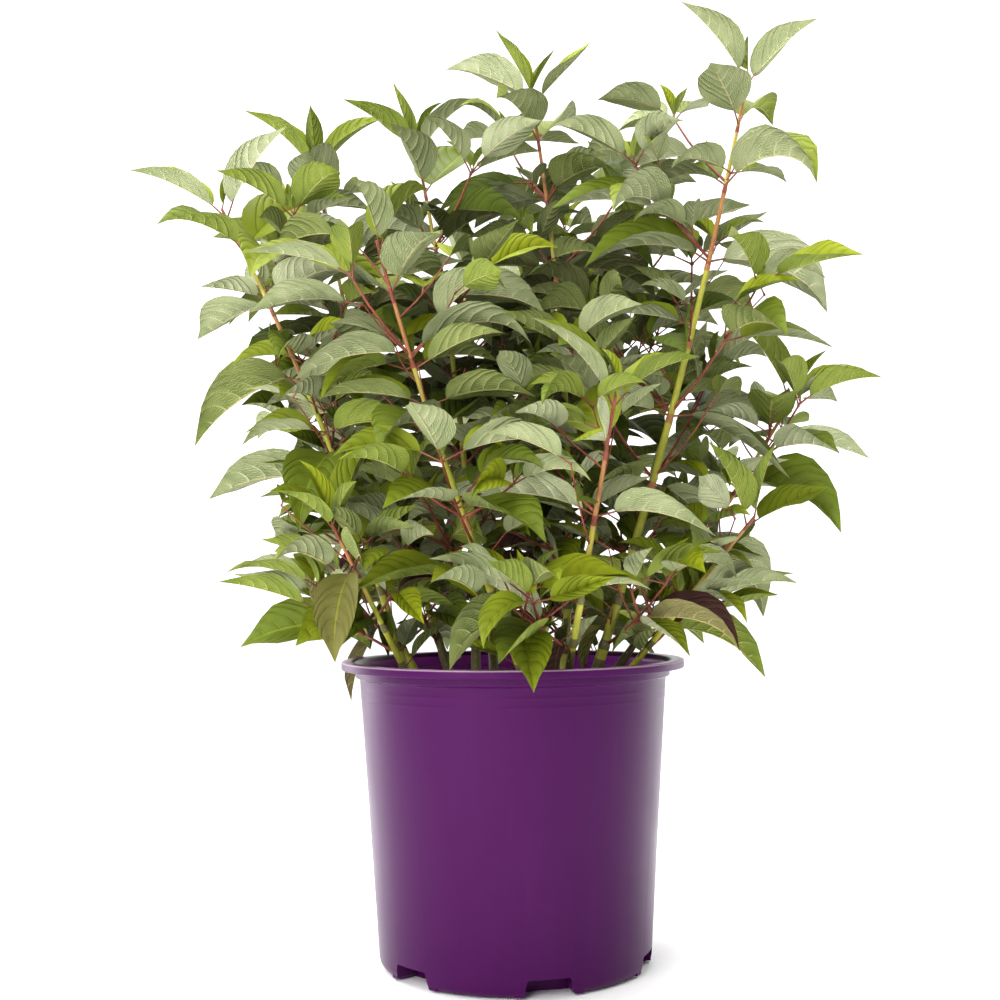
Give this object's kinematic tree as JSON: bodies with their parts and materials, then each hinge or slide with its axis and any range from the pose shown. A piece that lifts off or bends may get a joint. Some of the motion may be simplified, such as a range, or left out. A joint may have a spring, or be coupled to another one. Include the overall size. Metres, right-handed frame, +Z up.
{
  "type": "potted red twig dogwood",
  "caption": "Young many-stemmed dogwood shrub with opposite, arching leaves, in a round tapered nursery pot with a rolled lip and drainage notches.",
  "frame": {"origin": "centre of the pot's flat underside, on the ground", "axes": "+Z up along the pot's axis, -Y towards the front, +X to the right seen from the front"},
  "size_m": [0.5954, 0.5325, 0.7588],
  "materials": {
    "pot": "satin purple moulded plastic",
    "potting_mix": "dark loose bark and peat",
    "cane": "smooth young bark, yellow-green to red-brown",
    "foliage": "matte green leaf, paler underneath"
  },
  "bodies": {
    "root": {"cane_a": "cane", "cane_b": "cane", "cane_c": "cane", "cane_d": "cane", "cane_e": "cane", "cane_f": "cane", "cane_g": "cane", "cane_h": "cane", "cane_i": "cane", "cane_j": "cane", "cane_k": "cane", "cane_l": "cane", "cane_m": "cane", "cane_n": "cane", "crown_a": "foliage", "crown_b": "foliage", "crown_c": "foliage", "crown_d": "foliage", "crown_e": "foliage", "crown_f": "foliage", "crown_g": "foliage", "crown_h": "foliage", "crown_i": "foliage", "crown_j": "foliage", "crown_k": "foliage", "crown_l": "foliage", "crown_m": "foliage", "crown_n": "foliage", "pot": "pot", "potting_mix": "potting_mix", "spray_a1": "foliage", "spray_a2": "foliage", "spray_b1": "foliage", "spray_b2": "foliage", "spray_b3": "foliage", "spray_c1": "foliage", "spray_c2": "foliage", "spray_d1": "foliage", "spray_d2": "foliage", "spray_e1": "foliage", "spray_e2": "foliage", "spray_f1": "foliage", "spray_f2": "foliage", "spray_g1": "foliage", "spray_g2": "foliage", "spray_h1": "foliage", "spray_h2": "foliage", "spray_i1": "foliage", "spray_j1": "foliage", "spray_k1": "foliage", "spray_l1": "foliage", "spray_m1": "foliage", "spray_n1": "foliage"}
  },
  "joints": []
}
